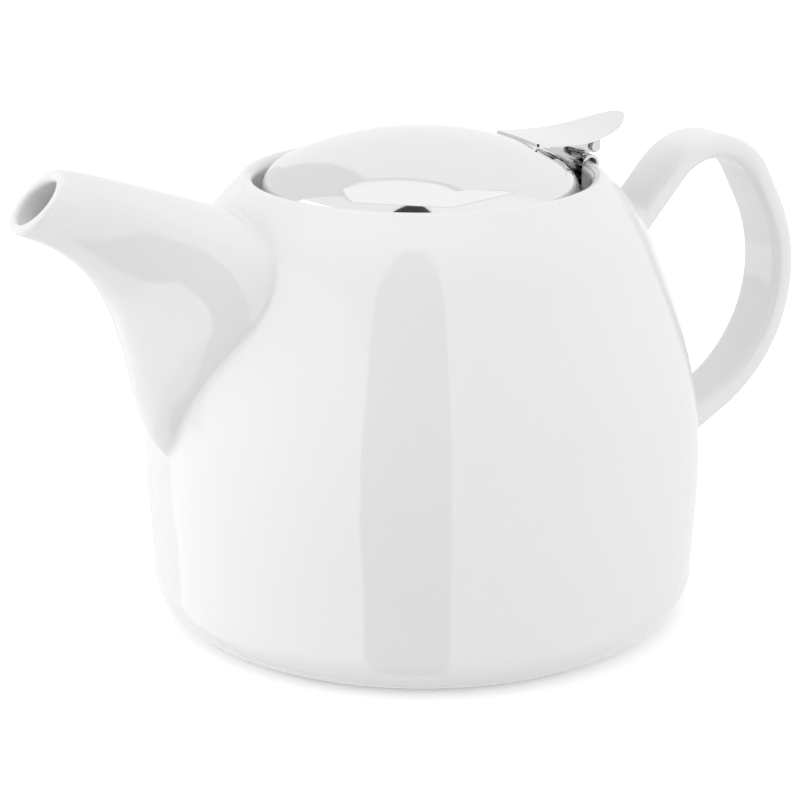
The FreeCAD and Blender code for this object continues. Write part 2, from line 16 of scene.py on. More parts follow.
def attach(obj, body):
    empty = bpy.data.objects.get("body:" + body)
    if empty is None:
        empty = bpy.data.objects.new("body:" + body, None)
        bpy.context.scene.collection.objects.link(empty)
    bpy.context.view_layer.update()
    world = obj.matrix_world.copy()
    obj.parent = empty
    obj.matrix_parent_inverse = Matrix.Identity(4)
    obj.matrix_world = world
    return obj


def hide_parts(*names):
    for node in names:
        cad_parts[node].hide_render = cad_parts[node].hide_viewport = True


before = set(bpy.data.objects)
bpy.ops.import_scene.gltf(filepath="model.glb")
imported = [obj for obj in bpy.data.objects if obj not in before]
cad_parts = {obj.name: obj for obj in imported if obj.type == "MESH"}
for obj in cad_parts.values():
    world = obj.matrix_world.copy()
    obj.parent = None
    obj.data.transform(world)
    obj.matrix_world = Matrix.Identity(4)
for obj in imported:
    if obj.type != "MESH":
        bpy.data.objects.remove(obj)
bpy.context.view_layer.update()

LOG = logging.getLogger("teapot")

MM = 0.001
# Points nearer than this are one point
WELD = 1e-6
# Folds up to this are flat and are taken out of a copied mesh
FLAT_UNDER = math.radians(1.0)
# Folds over this are edges to break
SHARP_OVER = math.radians(35.0)
# Folds up to this are shaded as one curved surface
SMOOTH_UNDER = math.radians(40.0)
# Sides of a square cell with its corners cut off
HOLE_SIDES = 8
# Side of the photograph in pixels
PHOTO_SIZE = 800.0
# Turn about X that stands a panel or the camera upright
UPRIGHT_DEG = 90.0
WHITE = (1.0, 1.0, 1.0, 1.0)
# A noise texture's plain value, and its average
NOISE = 0
NOISE_MEAN = 0.5
# Sockets of the mix node, several of which share a name
MIX_NUMBER_A = 2
MIX_NUMBER_B = 3
MIX_NUMBER = 0
MIX_COLOUR_A = 6
MIX_COLOUR_B = 7
MIX_COLOUR = 2

Colour = tuple[float, float, float]


class Body(Enum):
    """The rigid bodies that pieces ride on."""

    POT = "pot"
    LID = "lid"


class Slot(Enum):
    """The record's material slots of the pieces made here."""

    HINGE = "hinge_steel"
    INFUSER = "infuser_steel"


class Lines(Enum):
    """The way that fine polishing lines run on a piece of steel."""

    ROUND = "round"
    LEVEL = "level"
    ACROSS = "across"


@dataclass
class Wiring:
    """A node tree while its nodes are placed and joined."""

    tree: bpy.types.NodeTree

    def add(
        self,
        kind: str,
        settings: dict[str, object] | None = None,
        values: dict[str | int, object] | None = None,
    ) -> bpy.types.Node:
        """Place one node.

        Args:
            kind: Name of the node's type.
            settings: Properties of the node.
            values: Constant inputs, by name or number.

        Returns:
            The node.
        """
        node = self.tree.nodes.new(kind)
        for name, value in (settings or {}).items():
            setattr(node, name, value)
        for socket, value in (values or {}).items():
            node.inputs[socket].default_value = value
        return node

    def join(self, source: bpy.types.NodeSocket, target: bpy.types.NodeSocket) -> None:
        """Join an output to an input."""
        self.tree.links.new(source, target)

    def effect(
        self,
        group: bpy.types.NodeTree,
        place: bpy.types.NodeSocket,
        values: dict[str | int, object],
    ) -> bpy.types.Node:
        """Place a shared effect.

        Args:
            group: The effect's node group.
            place: The coordinates that it reads.
            values: Its constant inputs, by name.

        Returns:
            The effect's node.
        """
        node = self.add("ShaderNodeGroup", {"node_tree": group}, values)
        self.join(place, node.inputs["Vector"])
        return node

    def blend(
        self,
        share: bpy.types.NodeSocket,
        first: bpy.types.NodeSocket | Colour,
        second: Colour,
    ) -> bpy.types.NodeSocket:
        """Mix two colours by a share.

        Args:
            share: Share of the second colour.
            first: The colour at a share of 0, an output or a constant.
            second: The colour at a share of 1.

        Returns:
            The mixed colour.
        """
        node = self.add("ShaderNodeMix", {"data_type": "RGBA"}, {MIX_COLOUR_B: (*second, 1.0)})
        self.join(share, node.inputs["Factor"])
        if isinstance(first, tuple):
            node.inputs[MIX_COLOUR_A].default_value = (*first, 1.0)
        else:
            self.join(first, node.inputs[MIX_COLOUR_A])
        return node.outputs[MIX_COLOUR]

    def ramp(
        self,
        value: bpy.types.NodeSocket,
        span: tuple[float, float],
        result: tuple[float, float],
    ) -> bpy.types.NodeSocket:
        """Ease a value from one range to another.

        Args:
            value: The value to change.
            span: Where the value starts and ends.
            result: What it becomes there.

        Returns:
            The eased value.
        """
        ends = {"From Min": span[0], "From Max": span[1], "To Min": result[0], "To Max": result[1]}
        node = self.add("ShaderNodeMapRange", {"interpolation_type": "SMOOTHSTEP"}, ends)
        self.join(value, node.inputs["Value"])
        return node.outputs["Result"]

    def bump(
        self,
        height: bpy.types.NodeSocket,
        depth: float,
        under: bpy.types.NodeSocket | None = None,
    ) -> bpy.types.NodeSocket:
        """Raise a surface by a height pattern.

        Args:
            height: The pattern.
            depth: Height of the pattern in metres.
            under: Normal of the surface below, if it is raised already.

        Returns:
            The new normal.
        """
        node = self.add("ShaderNodeBump", values={"Strength": 1.0, "Distance": depth})
        self.join(height, node.inputs["Height"])
        if under is not None:
            self.join(under, node.inputs["Normal"])
        return node.outputs["Normal"]


def new_material(name: str) -> tuple[bpy.types.Material, Wiring, bpy.types.Node]:
    """Start a material.

    Args:
        name: Name of the material.

    Returns:
        The material, its wiring and its surface shader.
    """
    material = bpy.data.materials.new(name)
    material.use_nodes = True
    shader = material.node_tree.nodes["Principled BSDF"]
    return material, Wiring(material.node_tree), shader


def matte(name: str, shade: float) -> tuple[bpy.types.Material, Wiring, bpy.types.Node]:
    """Start a matte material of the studio that can glow white.

    Args:
        name: Name of the material.
        shade: Its grey, from 0 to 1.

    Returns:
        The material, its wiring and its surface shader.
    """
    material, wiring, shader = new_material(name)
    shader.inputs["Base Color"].default_value = (shade, shade, shade, 1.0)
    shader.inputs["Roughness"].default_value = 1.0
    shader.inputs["Specular IOR Level"].default_value = 0.0
    shader.inputs["Emission Color"].default_value = WHITE
    return material, wiring, shader


def placed(
    shape: bmesh.types.BMesh, name: str, material: bpy.types.Material
) -> bpy.types.Object:
    """Put a shape in the scene.

    Args:
        shape: The shape, which is used up.
        name: Name of its object and mesh.
        material: Its material.

    Returns:
        The object, at the origin.
    """
    mesh = bpy.data.meshes.new(name)
    shape.to_mesh(mesh)
    shape.free()
    mesh.materials.append(material)
    piece = bpy.data.objects.new(name, mesh)
    bpy.context.scene.collection.objects.link(piece)
    return piece


@dataclass
class SharedEffects:
    """Shader node groups that more than one finish uses, each built once."""

    smudge_detail: float = 4.0
    smudge_roughness: float = 0.6
    smudge_from: float = 0.35
    smudge_to: float = 0.7
    wave_detail: float = 1.0
    grain_detail: float = 2.0
    grains_per_wave: float = 14.0
    line_detail: float = 3.0
    patch_scale: float = 70.0
    patch_detail: float = 2.0
    smudges: bpy.types.NodeTree = field(init=False)
    ripple: bpy.types.NodeTree = field(init=False)
    fine_lines: bpy.types.NodeTree = field(init=False)

    def __post_init__(self) -> None:
        """Build the groups."""
        self.smudges = self._smudges()
        self.ripple = self._ripple()
        self.fine_lines = self._fine_lines()

    def _start(
        self, name: str, numbers: tuple[str, ...], output: str
    ) -> tuple[bpy.types.NodeTree, Wiring, bpy.types.Node, bpy.types.Node]:
        """Open a group with its sockets.

        Args:
            name: Name of the group.
            numbers: Names of the inputs besides its coordinates, which are all numbers.
            output: Name of its one output, a number.

        Returns:
            The group, its wiring, its input node and its output node.
        """
        group = bpy.data.node_groups.new(name, "ShaderNodeTree")
        group.interface.new_socket("Vector", in_out="INPUT", socket_type="NodeSocketVector")
        for number in numbers:
            group.interface.new_socket(number, in_out="INPUT", socket_type="NodeSocketFloat")
        group.interface.new_socket(output, in_out="OUTPUT", socket_type="NodeSocketFloat")
        wiring = Wiring(group)
        return group, wiring, wiring.add("NodeGroupInput"), wiring.add("NodeGroupOutput")

    def _smudges(self) -> bpy.types.NodeTree:
        """Roughness that drifts between two levels, as handling leaves a gloss.

        Returns:
            The group.
        """
        numbers = ("Scale", "Least", "Most")
        group, wiring, entry, leave = self._start("handling_smudges", numbers, "Roughness")
        drift = {"Detail": self.smudge_detail, "Roughness": self.smudge_roughness}
        noise = wiring.add("ShaderNodeTexNoise", values=drift)
        ends = {"From Min": self.smudge_from, "From Max": self.smudge_to}
        level = wiring.add("ShaderNodeMapRange", values=ends)
        wiring.join(entry.outputs["Vector"], noise.inputs["Vector"])
        wiring.join(entry.outputs["Scale"], noise.inputs["Scale"])
        wiring.join(noise.outputs[NOISE], level.inputs["Value"])
        wiring.join(entry.outputs["Least"], level.inputs["To Min"])
        wiring.join(entry.outputs["Most"], level.inputs["To Max"])
        wiring.join(level.outputs["Result"], leave.inputs["Roughness"])
        return group

    def _ripple(self) -> bpy.types.NodeTree:
        """Broad waves with a fine grain on them, as a fired glaze or a pressed sheet has.

        Returns:
            The group.
        """
        group, wiring, entry, leave = self._start("surface_ripple", ("Scale", "Grain"), "Height")
        waves = wiring.add("ShaderNodeTexNoise", values={"Detail": self.wave_detail})
        finer = wiring.add("ShaderNodeMath", {"operation": "MULTIPLY"}, {1: self.grains_per_wave})
        grain = wiring.add("ShaderNodeTexNoise", values={"Detail": self.grain_detail})
        total = wiring.add("ShaderNodeMath", {"operation": "MULTIPLY_ADD"})
        wiring.join(entry.outputs["Vector"], waves.inputs["Vector"])
        wiring.join(entry.outputs["Vector"], grain.inputs["Vector"])
        wiring.join(entry.outputs["Scale"], waves.inputs["Scale"])
        wiring.join(entry.outputs["Scale"], finer.inputs[0])
        wiring.join(finer.outputs["Value"], grain.inputs["Scale"])
        wiring.join(grain.outputs[NOISE], total.inputs[0])
        wiring.join(entry.outputs["Grain"], total.inputs[1])
        wiring.join(waves.outputs[NOISE], total.inputs[2])
        wiring.join(total.outputs["Value"], leave.inputs["Height"])
        return group

    def _fine_lines(self) -> bpy.types.NodeTree:
        """Fine lines of uneven strength, as polishing and brushing leave on steel.

        Returns:
            The group.
        """
        group, wiring, entry, leave = self._start("fine_lines", ("Across", "Density"), "Tone")
        place = wiring.add("ShaderNodeMath", {"operation": "MULTIPLY"})
        line_values = {"Scale": 1.0, "Detail": self.line_detail}
        lines = wiring.add("ShaderNodeTexNoise", {"noise_dimensions": "1D"}, line_values)
        patch_values = {"Scale": self.patch_scale, "Detail": self.patch_detail}
        patches = wiring.add("ShaderNodeTexNoise", values=patch_values)
        strength = wiring.add("ShaderNodeMath", {"operation": "MULTIPLY"})
        wiring.join(entry.outputs["Across"], place.inputs[0])
        wiring.join(entry.outputs["Density"], place.inputs[1])
        wiring.join(place.outputs["Value"], lines.inputs["W"])
        wiring.join(entry.outputs["Vector"], patches.inputs["Vector"])
        wiring.join(lines.outputs[NOISE], strength.inputs[0])
        wiring.join(patches.outputs[NOISE], strength.inputs[1])
        wiring.join(strength.outputs["Value"], leave.inputs["Tone"])
        return group


@dataclass(frozen=True)
class PorcelainFinish:
    """White porcelain under a clear glaze, left bare under the foot ring."""

    white: Colour = (0.86, 0.86, 0.86)
    shade: Colour = (0.845, 0.845, 0.845)
    speck: Colour = (0.55, 0.53, 0.50)
    bisque: Colour = (0.74, 0.71, 0.66)
    glaze_ior: float = 1.6
    least_roughness: float = 0.03
    most_roughness: float = 0.06
    smudge_scale: float = 38.0
    bare_roughness: float = 0.8
    bare_height: float = 0.5 * MM
    bare_edge: float = 0.15 * MM
    bare_wander: float = 300.0
    cloud_scale: float = 25.0
    cloud_detail: float = 3.0
    ripple_scale: float = 42.0
    ripple_grain: float = 0.01
    ripple_depth: float = 0.07 * MM
    speck_cells: float = 110.0
    speck_size: float = 0.022
    speck_share: float = 0.12

    def make(self, effects: SharedEffects) -> bpy.types.Material:
        """Build the material.

        Args:
            effects: The shared node groups.

        Returns:
            The glazed porcelain.
        """
        material, wiring, shader = new_material("glazed_porcelain")
        shader.inputs["IOR"].default_value = self.glaze_ior
        place = wiring.add("ShaderNodeTexCoord").outputs["Object"]
        bare = self._bare_foot(wiring, place)
        wiring.join(self._colour(wiring, place, bare), shader.inputs["Base Color"])
        levels = {
            "Scale": self.smudge_scale,
            "Least": self.least_roughness,
            "Most": self.most_roughness,
        }
        gloss = wiring.effect(effects.smudges, place, levels)
        rough = wiring.add("ShaderNodeMix", values={MIX_NUMBER_B: self.bare_roughness})
        wiring.join(bare, rough.inputs["Factor"])
        wiring.join(gloss.outputs["Roughness"], rough.inputs[MIX_NUMBER_A])
        wiring.join(rough.outputs[MIX_NUMBER], shader.inputs["Roughness"])
        waves = {"Scale": self.ripple_scale, "Grain": self.ripple_grain}
        ripple = wiring.effect(effects.ripple, place, waves)
        normal = wiring.bump(ripple.outputs["Height"], self.ripple_depth)
        wiring.join(normal, shader.inputs["Normal"])
        return material

    def _bare_foot(self, wiring: Wiring, place: bpy.types.NodeSocket) -> bpy.types.NodeSocket:
        """Mark the unglazed ring on which the pot stands.

        Args:
            wiring: The material's nodes.
            place: Object coordinates.

        Returns:
            The mask, 1 where the clay is bare.
        """
        parts = wiring.add("ShaderNodeSeparateXYZ")
        wander = wiring.add("ShaderNodeTexNoise", values={"Scale": self.bare_wander})
        wiring.join(place, parts.inputs["Vector"])
        wiring.join(place, wander.inputs["Vector"])
        height = wiring.add("ShaderNodeMath", {"operation": "MULTIPLY_ADD"}, {1: self.bare_height})
        wiring.join(wander.outputs[NOISE], height.inputs[0])
        wiring.join(parts.outputs["Z"], height.inputs[2])
        line = self.bare_height * (1.0 + NOISE_MEAN)
        span = (line - self.bare_edge, line + self.bare_edge)
        return wiring.ramp(height.outputs["Value"], span, (1.0, 0.0))

    def _colour(
        self, wiring: Wiring, place: bpy.types.NodeSocket, bare: bpy.types.NodeSocket
    ) -> bpy.types.NodeSocket:
        """Tint the glaze faintly, with a few fired-in specks, and show the clay below.

        Args:
            wiring: The material's nodes.
            place: Object coordinates.
            bare: Mask of the unglazed foot.

        Returns:
            The colour.
        """
        drift = {"Scale": self.cloud_scale, "Detail": self.cloud_detail}
        cloud = wiring.add("ShaderNodeTexNoise", values=drift)
        wiring.join(place, cloud.inputs["Vector"])
        glaze = wiring.blend(cloud.outputs[NOISE], self.white, self.shade)
        cells = wiring.add("ShaderNodeTexVoronoi", values={"Scale": self.speck_cells})
        wiring.join(place, cells.inputs["Vector"])
        span = (self.speck_size / 2, self.speck_size)
        dots = wiring.ramp(cells.outputs["Distance"], span, (1.0, 0.0))
        chance = wiring.add("ShaderNodeSeparateColor")
        wiring.join(cells.outputs["Color"], chance.inputs["Color"])
        chosen = wiring.add("ShaderNodeMath", {"operation": "LESS_THAN"}, {1: self.speck_share})
        wiring.join(chance.outputs["Red"], chosen.inputs[0])
        specks = wiring.add("ShaderNodeMath", {"operation": "MULTIPLY"})
        wiring.join(dots, specks.inputs[0])
        wiring.join(chosen.outputs["Value"], specks.inputs[1])
        speckled = wiring.blend(specks.outputs["Value"], glaze, self.speck)
        return wiring.blend(bare, speckled, self.bisque)


@dataclass(frozen=True)
class SteelFinish:
    """Stainless steel sheet, polished, tumbled or satin."""

    name: str
    colour: Colour
    shade: Colour
    least_roughness: float
    most_roughness: float
    smudge_scale: float
    lines: Lines
    line_density: float
    line_depth: float
    ripple_scale: float
    ripple_grain: float
    ripple_depth: float
    centre_x: float = 0.0

    def make(self, effects: SharedEffects) -> bpy.types.Material:
        """Build the material.

        Args:
            effects: The shared node groups.

        Returns:
            The steel.
        """
        material, wiring, shader = new_material(self.name)
        shader.inputs["Metallic"].default_value = 1.0
        place = self._place(wiring)
        levels = {
            "Scale": self.smudge_scale,
            "Least": self.least_roughness,
            "Most": self.most_roughness,
        }
        gloss = wiring.effect(effects.smudges, place, levels)
        wiring.join(gloss.outputs["Roughness"], shader.inputs["Roughness"])
        lines = wiring.effect(effects.fine_lines, place, {"Density": self.line_density})
        wiring.join(self._across(wiring, place), lines.inputs["Across"])
        tone = wiring.blend(lines.outputs["Tone"], self.colour, self.shade)
        wiring.join(tone, shader.inputs["Base Color"])
        waves = {"Scale": self.ripple_scale, "Grain": self.ripple_grain}
        ripple = wiring.effect(effects.ripple, place, waves)
        sheet = wiring.bump(ripple.outputs["Height"], self.ripple_depth)
        normal = wiring.bump(lines.outputs["Tone"], self.line_depth, sheet)
        wiring.join(normal, shader.inputs["Normal"])
        return material

    def _place(self, wiring: Wiring) -> bpy.types.NodeSocket:
        """Object coordinates about the axis that the lines run round.

        Args:
            wiring: The material's nodes.

        Returns:
            The coordinates.
        """
        place = wiring.add("ShaderNodeTexCoord").outputs["Object"]
        centred = wiring.add("ShaderNodeMapping", values={"Location": (-self.centre_x, 0.0, 0.0)})
        wiring.join(place, centred.inputs["Vector"])
        return centred.outputs["Vector"]

    def _across(self, wiring: Wiring, place: bpy.types.NodeSocket) -> bpy.types.NodeSocket:
        """The distance that is counted across the lines.

        Args:
            wiring: The material's nodes.
            place: Coordinates about the axis.

        Returns:
            The distance in metres.
        """
        if self.lines is Lines.ROUND:
            level = {1: (1.0, 1.0, 0.0)}
            flat = wiring.add("ShaderNodeVectorMath", {"operation": "MULTIPLY"}, level)
            away = wiring.add("ShaderNodeVectorMath", {"operation": "LENGTH"})
            wiring.join(place, flat.inputs[0])
            wiring.join(flat.outputs["Vector"], away.inputs[0])
            return away.outputs["Value"]
        parts = wiring.add("ShaderNodeSeparateXYZ")
        wiring.join(place, parts.inputs["Vector"])
        return parts.outputs["Z" if self.lines is Lines.LEVEL else "Y"]


POLISHED = SteelFinish(
    name="polished_steel",
    colour=(0.82, 0.82, 0.82),
    shade=(0.79, 0.79, 0.79),
    least_roughness=0.06,
    most_roughness=0.1,
    smudge_scale=60.0,
    lines=Lines.ROUND,
    line_density=9000.0,
    line_depth=0.0005 * MM,
    ripple_scale=30.0,
    ripple_grain=0.02,
    ripple_depth=0.02 * MM,
    centre_x=-0.7 * MM,
)
TUMBLED = SteelFinish(
    name="hinge_steel",
    colour=(0.71, 0.71, 0.72),
    shade=(0.61, 0.61, 0.62),
    least_roughness=0.11,
    most_roughness=0.22,
    smudge_scale=300.0,
    lines=Lines.ACROSS,
    line_density=6000.0,
    line_depth=0.002 * MM,
    ripple_scale=250.0,
    ripple_grain=0.3,
    ripple_depth=0.01 * MM,
)
SATIN = SteelFinish(
    name="infuser_steel",
    colour=(0.64, 0.64, 0.64),
    shade=(0.54, 0.54, 0.54),
    least_roughness=0.2,
    most_roughness=0.32,
    smudge_scale=80.0,
    lines=Lines.LEVEL,
    line_density=5000.0,
    line_depth=0.003 * MM,
    ripple_scale=60.0,
    ripple_grain=0.1,
    ripple_depth=0.01 * MM,
)


@dataclass(frozen=True)
class Panel:
    """One flat panel of the studio, placed round the object from the camera's line of sight."""

    name: str
    turn_deg: float
    centre_z: float
    distance: float
    width: float
    height: float
    radiance: float
    tilt_deg: float = 0.0

    def place(self, camera_turn_deg: float) -> Matrix:
        """Turn the panel to face the object's axis, or down by its tilt.

        Args:
            camera_turn_deg: Turn of the camera about Z, from looking along +Y.

        Returns:
            The panel's place.
        """
        turn = math.radians(camera_turn_deg + self.turn_deg)
        away = Vector((math.sin(turn), -math.cos(turn), 0.0)) * self.distance
        centre = Matrix.Translation(away + Vector((0.0, 0.0, self.centre_z)))
        lean = Matrix.Rotation(math.radians(UPRIGHT_DEG - self.tilt_deg), 4, "X")
        return centre @ Matrix.Rotation(turn, 4, "Z") @ lean


@dataclass(frozen=True)
class SoftBox(Panel):
    """One lamp that reflections don't see, because the cards stand for it there."""

    def build(self, camera_turn_deg: float) -> None:
        """Make the lamp.

        Args:
            camera_turn_deg: Turn of the camera about Z, from looking along +Y.
        """
        lamp = bpy.data.lights.new(self.name, "AREA")
        lamp.shape = "RECTANGLE"
        lamp.size = self.width
        lamp.size_y = self.height
        lamp.energy = self.radiance * math.pi * self.width * self.height
        piece = bpy.data.objects.new(self.name, lamp)
        piece.matrix_world = self.place(camera_turn_deg)
        piece.visible_camera = False
        piece.visible_glossy = False
        bpy.context.scene.collection.objects.link(piece)


@dataclass(frozen=True)
class Card(Panel):
    """One glowing card that only reflections see, with its top edge narrowed to top_share."""

    top_share: float = 1.0

    def build(self, camera_turn_deg: float) -> None:
        """Make the card.

        Args:
            camera_turn_deg: Turn of the camera about Z, from looking along +Y.
        """
        shape = bmesh.new()
        bmesh.ops.create_grid(shape, x_segments=1, y_segments=1, size=0.5)
        top = [vert for vert in shape.verts if vert.co.y > 0.0]
        bmesh.ops.scale(shape, vec=(self.top_share, 1.0, 1.0), verts=top)
        bmesh.ops.scale(shape, vec=(self.width, self.height, 1.0), verts=shape.verts)
        bmesh.ops.transform(shape, matrix=self.place(camera_turn_deg), verts=shape.verts)
        material, _, shader = matte(self.name, shade=0.0)
        shader.inputs["Emission Strength"].default_value = self.radiance
        card = placed(shape, self.name, material)
        card.visible_camera = False
        card.visible_diffuse = False
        card.visible_shadow = False


@dataclass
class Studio:
    """Camera, lamps, cards, floor and background."""

    camera_place: tuple[float, float, float] = (-0.2629, -0.4945, 0.2323)
    camera_pitch_deg: float = 17.86
    camera_turn_deg: float = -28.0
    sensor_mm: float = 36.0
    focal_share: float = 2319.0 / PHOTO_SIZE
    centre_shift: float = -22.6 / PHOTO_SIZE
    floor_size: float = 12.0
    floor_white: float = 0.85
    floor_lift: float = 0.3
    shadow_reach: float = 0.42
    ambient: float = 0.62
    surround: float = 1.0
    lamps: tuple[SoftBox, ...] = (
        SoftBox(
            name="left_softbox", turn_deg=-84.0, centre_z=0.2, distance=1.3,
            width=1.6, height=1.6, radiance=1.65,
        ),
        SoftBox(
            name="right_softbox", turn_deg=64.0, centre_z=0.5, distance=1.3,
            width=1.6, height=1.6, radiance=0.95,
        ),
        SoftBox(
            name="top_softbox", turn_deg=180.0, centre_z=1.4, distance=0.2,
            width=1.4, height=1.4, radiance=0.84, tilt_deg=90.0,
        ),
        SoftBox(
            name="low_softbox", turn_deg=-48.0, centre_z=0.12, distance=1.1,
            width=1.2, height=0.5, radiance=0.24,
        ),
    )
    cards: tuple[Card, ...] = (
        Card(
            name="front_card", turn_deg=-6.3, centre_z=-1.35, distance=1.6,
            width=1.02, height=4.3, radiance=0.06,
        ),
        Card(
            name="front_card_top", turn_deg=-6.3, centre_z=2.2, distance=1.6,
            width=1.02, height=2.8, radiance=0.06, top_share=0.45,
        ),
        Card(
            name="right_card", turn_deg=55.25, centre_z=0.65, distance=1.25,
            width=2.48, height=3.9, radiance=1.05,
        ),
        Card(
            name="left_card", turn_deg=-73.0, centre_z=-0.24, distance=1.25,
            width=3.0, height=2.12, radiance=1.45,
        ),
        Card(
            name="top_card", turn_deg=160.0, centre_z=1.4, distance=0.05,
            width=1.5, height=1.4, radiance=1.1, tilt_deg=90.0,
        ),
        Card(
            name="top_frame", turn_deg=160.0, centre_z=1.41, distance=0.05,
            width=1.6, height=1.5, radiance=0.8, tilt_deg=90.0,
        ),
        Card(
            name="back_left_card", turn_deg=-130.0, centre_z=1.1, distance=1.2,
            width=1.5, height=2.4, radiance=0.87,
        ),
    )

    def build(self) -> None:
        """Make the camera, the lamps, the cards, the floor and the world."""
        self._camera()
        for panel in self.lamps + self.cards:
            panel.build(self.camera_turn_deg)
        self._floor()
        self._world()
        bpy.context.scene.view_settings.view_transform = "Standard"

    def _camera(self) -> None:
        """Stand the camera where the photograph was taken from."""
        data = bpy.data.cameras.new("camera")
        data.sensor_width = self.sensor_mm
        data.lens = self.sensor_mm * self.focal_share
        data.shift_x = self.centre_shift
        camera = bpy.data.objects.new("camera", data)
        camera.location = self.camera_place
        camera.rotation_euler = (
            math.radians(UPRIGHT_DEG - self.camera_pitch_deg),
            0.0,
            math.radians(self.camera_turn_deg),
        )
        bpy.context.scene.collection.objects.link(camera)
        bpy.context.scene.camera = camera

    def _floor(self) -> None:
        """Lay a white floor that keeps the shadow and clears to white round the object."""
        shape = bmesh.new()
        bmesh.ops.create_grid(shape, x_segments=1, y_segments=1, size=self.floor_size / 2)
        material, wiring, shader = matte("floor_white", shade=self.floor_white)
        floor = placed(shape, "floor", material)
        floor.visible_glossy = False
        place = wiring.add("ShaderNodeTexCoord").outputs["Object"]
        away = wiring.add("ShaderNodeVectorMath", {"operation": "LENGTH"})
        wiring.join(place, away.inputs[0])
        fade = wiring.ramp(away.outputs["Value"], (0.0, self.shadow_reach), (self.floor_lift, 1.0))
        lift = wiring.add("ShaderNodeMath", {"operation": "MULTIPLY"})
        wiring.join(wiring.add("ShaderNodeLightPath").outputs["Is Camera Ray"], lift.inputs[0])
        wiring.join(fade, lift.inputs[1])
        wiring.join(lift.outputs["Value"], shader.inputs["Emission Strength"])

    def _world(self) -> None:
        """Make the surroundings white to the eye and in reflections, and dimmer as light."""
        world = bpy.data.worlds.new("studio")
        bpy.context.scene.world = world
        world.use_nodes = True
        wiring = Wiring(world.node_tree)
        background = world.node_tree.nodes["Background"]
        background.inputs["Color"].default_value = WHITE
        path = wiring.add("ShaderNodeLightPath")
        seen = wiring.add("ShaderNodeMath", {"operation": "MAXIMUM"})
        wiring.join(path.outputs["Is Camera Ray"], seen.inputs[0])
        wiring.join(path.outputs["Is Glossy Ray"], seen.inputs[1])
        through = wiring.add("ShaderNodeMath", {"operation": "MAXIMUM"})
        wiring.join(seen.outputs["Value"], through.inputs[0])
        wiring.join(path.outputs["Is Transmission Ray"], through.inputs[1])
        ends = {"To Min": self.ambient, "To Max": self.surround}
        level = wiring.add("ShaderNodeMapRange", values=ends)
        wiring.join(through.outputs["Value"], level.inputs["Value"])
        wiring.join(level.outputs["Result"], background.inputs["Strength"])


def dress(node: str, material: bpy.types.Material) -> None:
    """Give a CAD node its finish.

    Args:
        node: Name of the node.
        material: The finish.
    """
    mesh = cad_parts[node].data
    mesh.materials.clear()
    mesh.materials.append(material)
    LOG.info("dressed %s in %s", node, material.name)


def merged_copy(node: str) -> bmesh.types.BMesh:
    """Copy a CAD node's mesh with its loose triangles joined.

    Args:
        node: Name of the node.

    Returns:
        The joined copy.
    """
    shape = bmesh.new()
    shape.from_mesh(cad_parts[node].data)
    bmesh.ops.remove_doubles(shape, verts=shape.verts, dist=WELD)
    bmesh.ops.dissolve_limit(shape, angle_limit=FLAT_UNDER, verts=shape.verts, edges=shape.edges)
    return shape


def round_edges(shape: bmesh.types.BMesh, width: float) -> None:
    """Break the sharp edges of a piece, as tumbling does.

    Args:
        shape: The piece.
        width: Width of the rounding in metres.
    """
    sharp = [edge for edge in shape.edges if edge.calc_face_angle(0.0) > SHARP_OVER]
    bmesh.ops.bevel(
        shape, geom=sharp, offset=width, offset_type="OFFSET", segments=2, profile=0.5,
        affect="EDGES", clamp_overlap=True, material=-1,
    )


def pierce(
    shape: bmesh.types.BMesh, cells: list[bmesh.types.BMFace], web: float, corner: float
) -> None:
    """Punch one eight-sided hole in each cell of a sheet.

    Args:
        shape: The sheet.
        cells: The faces to pierce.
        web: Metal left on each side of a hole, in metres.
        corner: How much is cut off the corners of a hole, in metres.
    """
    bmesh.ops.inset_individual(shape, faces=cells, thickness=web, use_even_offset=True)
    corners = {vert for cell in cells for vert in cell.verts}
    bmesh.ops.bevel(
        shape, geom=list(corners), offset=corner, offset_type="OFFSET", segments=1, profile=0.5,
        affect="VERTICES", clamp_overlap=True, material=-1,
    )
    holes = [face for face in shape.faces if len(face.verts) == HOLE_SIDES]
    bmesh.ops.delete(shape, geom=holes, context="FACES")


def finished(
    shape: bmesh.types.BMesh, node: str, material: bpy.types.Material, body: Body
) -> None:
    """Make a piece that stands for a CAD node.

    Args:
        shape: The piece's shape, which is used up.
        node: The node that it stands for.
        material: Its finish.
        body: The body that it rides on.
    """
    piece = placed(shape, f"{node}_finished", material)
    piece.data.shade_smooth()
    piece.data.set_sharp_from_angle(angle=SMOOTH_UNDER)
    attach(piece, body.value)
    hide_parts(node)
    LOG.info("built %s with %d faces", piece.name, len(piece.data.polygons))


@dataclass
class PorcelainPot:
    """The body, spout and handle, fired as one piece."""

    node: str = "porcelain_pot"

    def dress(self, glaze: bpy.types.Material) -> None:
        """Glaze the pot."""
        dress(self.node, glaze)


@dataclass
class HingedLid:
    """The domed lid with its thumb lever and the lever's bracket."""

    bracket_edge: float = 0.12 * MM

    def build(self, polished: bpy.types.Material, tumbled: bpy.types.Material) -> None:
        """Polish the dome and the lever, and make the bracket.

        Args:
            polished: Finish of the dome and the lever.
            tumbled: Finish of the bracket.
        """
        dress("lid_dome", polished)
        dress("thumb_lever", polished)
        bracket = merged_copy("lever_bracket")
        round_edges(bracket, self.bracket_edge)
        finished(bracket, "lever_bracket", tumbled, Body.LID)


